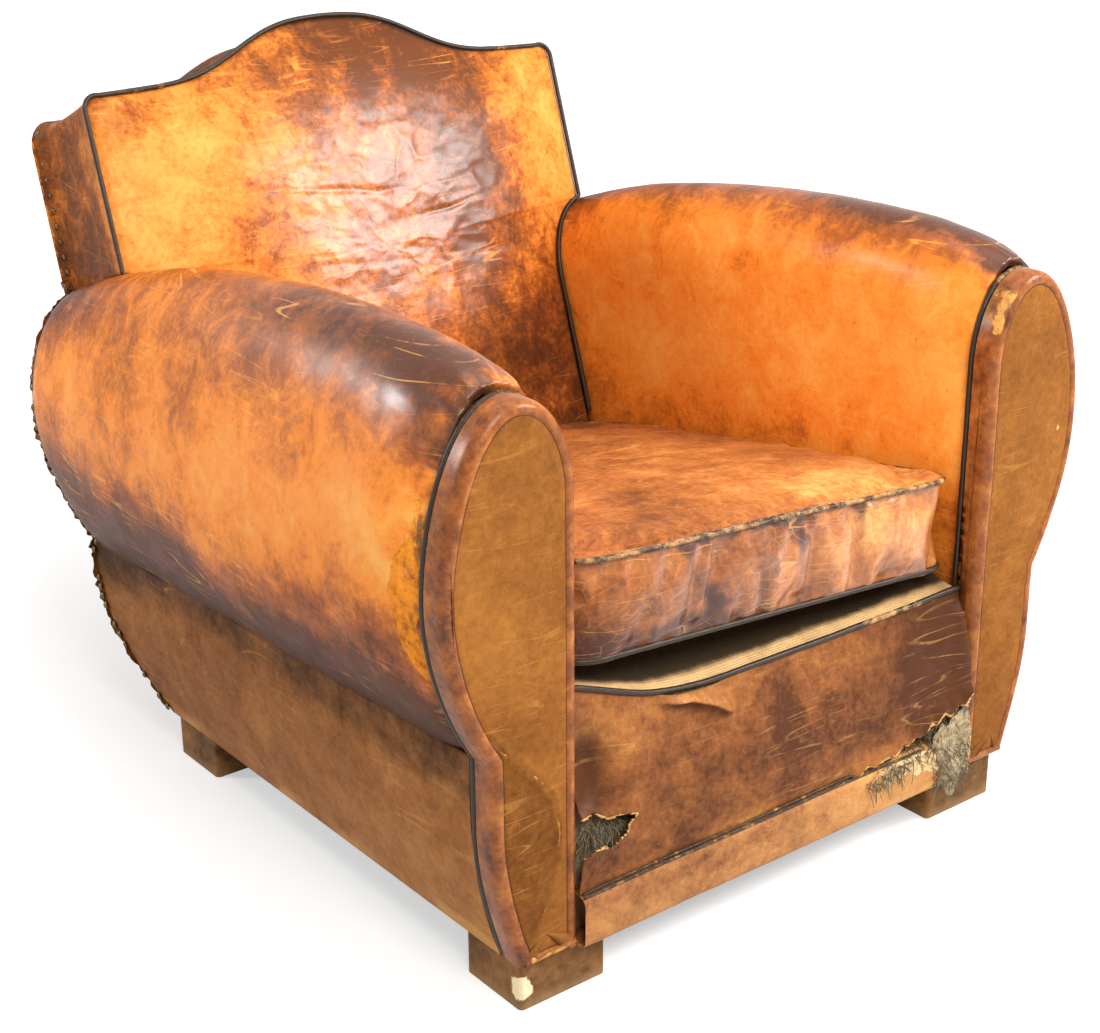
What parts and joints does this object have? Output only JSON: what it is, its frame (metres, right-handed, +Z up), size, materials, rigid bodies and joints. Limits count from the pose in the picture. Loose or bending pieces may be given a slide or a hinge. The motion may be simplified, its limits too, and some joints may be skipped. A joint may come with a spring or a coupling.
{
  "type": "club armchair",
  "caption": "Worn leather club armchair: crested back, rolled arms, loose seat cushion and low block feet, with a torn front panel showing its stuffing.",
  "frame": {"origin": "middle of the footprint, on the floor under the feet", "axes": "+Z up, +Y from the open front of the seat to the rear, +X to the right as seen from the front"},
  "size_m": [0.8378, 0.9422, 0.8073],
  "materials": {
    "arm_leather": "worn glazed sheepskin, scratched",
    "back_leather": "worn glazed sheepskin, crackled and polished",
    "facing_suede": "rubbed matte leather",
    "panel_leather": "dry, crazed leather",
    "cushion_leather": "worn glazed sheepskin, crazed",
    "outside_leather": "dull, dusty leather",
    "piping": "dark leather over cord, rubbed",
    "frame_beech": "sawn, unfinished",
    "foot_wood": "old stain and varnish",
    "hair_stuffing": "matted hair and hessian",
    "jute_webbing": "coarse jute weave",
    "deck_cloth": "plain lining cloth",
    "spring_steel": "dull drawn wire",
    "dust_cloth": "plain black cotton"
  },
  "bodies": {
    "root": {"foot_front_right": "foot_wood", "foot_front_left": "foot_wood", "foot_rear_right": "foot_wood", "foot_rear_left": "foot_wood", "rail_side_right": "frame_beech", "rail_side_left": "frame_beech", "rail_front": "frame_beech", "rail_rear": "frame_beech", "corner_block_front_right": "frame_beech", "corner_block_front_left": "frame_beech", "corner_block_rear_right": "frame_beech", "corner_block_rear_left": "frame_beech", "arm_post_right": "frame_beech", "arm_post_left": "frame_beech", "arm_top_rail_right": "frame_beech", "arm_top_rail_left": "frame_beech", "arm_under_rail_right": "frame_beech", "arm_under_rail_left": "frame_beech", "arm_rear_board_right": "frame_beech", "arm_rear_board_left": "frame_beech", "arm_stuffing_right": "hair_stuffing", "arm_stuffing_left": "hair_stuffing", "arm_cover_right": "arm_leather", "arm_cover_left": "arm_leather", "arm_facing_right": "facing_suede", "arm_facing_left": "facing_suede", "arm_piping_right": "piping", "arm_piping_left": "piping", "side_panel_right": "outside_leather", "side_panel_left": "outside_leather", "back_post_right": "frame_beech", "back_post_left": "frame_beech", "back_crest_rail": "frame_beech", "back_lower_rail": "frame_beech", "back_stuffing": "hair_stuffing", "back_cover": "back_leather", "back_piping": "piping", "outside_back": "outside_leather", "seat_webbing": "jute_webbing", "seat_spring_1": "spring_steel", "seat_spring_2": "spring_steel", "seat_spring_3": "spring_steel", "seat_spring_4": "spring_steel", "seat_spring_5": "spring_steel", "seat_spring_6": "spring_steel", "seat_spring_7": "spring_steel", "seat_spring_8": "spring_steel", "seat_spring_9": "spring_steel", "spring_cloth": "jute_webbing", "seat_stuffing": "hair_stuffing", "seat_deck": "deck_cloth", "front_panel": "panel_leather", "front_panel_piping": "piping", "front_stuffing": "hair_stuffing", "front_band": "panel_leather", "seat_cushion": "cushion_leather", "cushion_piping_top": "piping", "cushion_piping_bottom": "piping", "dust_cloth": "dust_cloth"}
  },
  "joints": []
}
